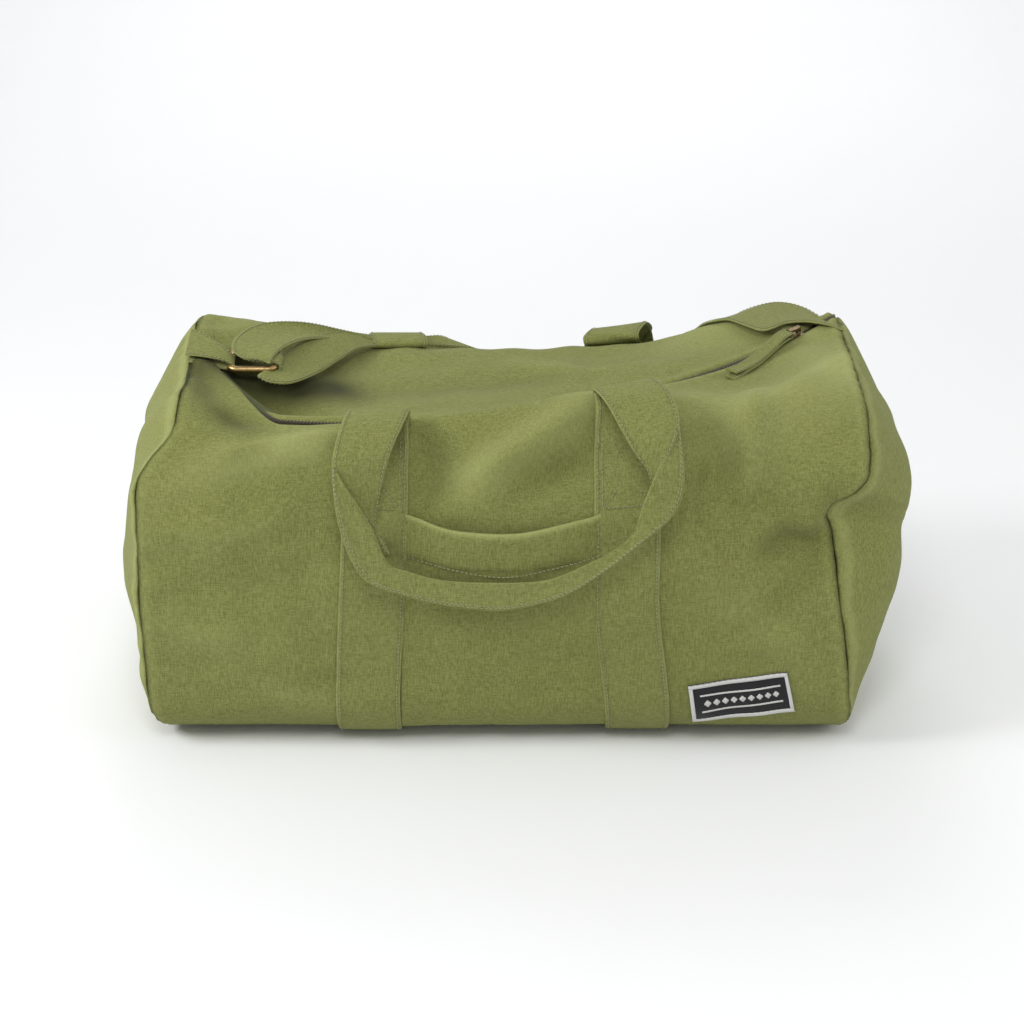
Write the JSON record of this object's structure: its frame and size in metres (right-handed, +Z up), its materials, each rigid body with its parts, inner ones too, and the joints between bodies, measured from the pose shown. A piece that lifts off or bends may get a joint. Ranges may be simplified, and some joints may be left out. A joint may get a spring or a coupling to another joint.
{
  "type": "duffel bag",
  "caption": "Soft canvas duffel bag with webbing handles, a curved top zip, an open front pocket and a long shoulder strap.",
  "frame": {"origin": "on the floor under the middle of the bag, between the two end seams", "axes": "+X along the bag to the end with the zip slider, front faces -Y, +Z up"},
  "size_m": [0.634, 0.3286, 0.2846],
  "materials": {
    "canvas": "woven cotton canvas, olive green",
    "strap_canvas": "folded cotton canvas webbing, olive green",
    "binding": "cotton binding tape",
    "thread": "cotton thread",
    "patch": "black woven patch with a white border",
    "zip_tape": "woven zip tape, dark olive",
    "coil": "dark brown coil zip",
    "bronze": "aged bronze plate",
    "brass": "antique brass, brushed"
  },
  "bodies": {
    "bag": {"main_panel": "canvas", "end_cap_left": "canvas", "end_cap_right": "canvas", "seam_binding_left": "binding", "seam_binding_right": "binding", "girth_strap_left": "strap_canvas", "girth_strap_right": "strap_canvas", "handle_stitching": "thread", "front_pocket": "canvas", "pocket_hem": "canvas", "label_patch": "patch", "zip_tape_front": "zip_tape", "zip_coil_front": "coil", "zip_tape_ends": "zip_tape", "zip_coil_ends": "coil", "zip_stops": "bronze", "front_top_panel": "canvas", "top_corner_left": "canvas", "top_corner_right": "canvas", "strap_tab": "strap_canvas", "shoulder_strap": "strap_canvas"},
    "mouth": {"rear_top_panel": "canvas", "zip_tape_rear": "zip_tape", "zip_coil_rear": "coil"},
    "slider": {"zip_slider": "bronze"},
    "pull_ring": {"pull_ring": "bronze"},
    "pull_tab": {"pull_tab": "canvas"},
    "front_handle": {"front_handle": "strap_canvas"},
    "rear_handle": {"rear_handle": "strap_canvas"},
    "strap_ring": {"strap_ring": "brass", "strap_ring_loop": "strap_canvas"},
    "adjuster": {"adjuster_frame": "brass", "adjuster_bar": "brass"}
  },
  "joints": [
    {"name": "mouth_opening", "type": "hinge", "parent": "bag", "child": "mouth", "pos_m": [0.045, 0.0955, 0.243], "axis": [-1, 0, 0], "range_deg": [0, 80]},
    {"name": "zip_travel", "type": "hinge", "parent": "bag", "child": "slider", "pos_m": [-0.112, 0.40917, 0.34332], "axis": [0, -0.1857, 0.9826], "range_deg": [-44, 0]},
    {"name": "pull_ring_swing", "type": "hinge", "parent": "slider", "child": "pull_ring", "pos_m": [0.22527, 0.03461, 0.27957], "axis": [0.7615, -0.6368, -0.1203], "range_deg": [-100, 0]},
    {"name": "pull_tab_swing", "type": "hinge", "parent": "pull_ring", "child": "pull_tab", "pos_m": [0.21757, 0.02541, 0.27953], "axis": [0.7615, -0.6368, -0.1203], "range_deg": [-80, 0]},
    {"name": "front_handle_swing", "type": "hinge", "parent": "bag", "child": "front_handle", "pos_m": [-0.0065, -0.116, 0.262], "axis": [-1, 0, 0], "range_deg": [0, 160]},
    {"name": "rear_handle_swing", "type": "hinge", "parent": "bag", "child": "rear_handle", "pos_m": [-0.0065, 0.116, 0.262], "axis": [1, 0, 0], "range_deg": [0, 140]},
    {"name": "strap_ring_swing", "type": "hinge", "parent": "bag", "child": "strap_ring", "pos_m": [-0.219, 0.002, 0.277], "axis": [0, -1, 0], "range_deg": [0, 30]},
    {"name": "strap_adjust", "type": "slide", "parent": "bag", "child": "adjuster", "axis": [0, 0, 1], "range_m": [-0.06, 0.06]}
  ]
}
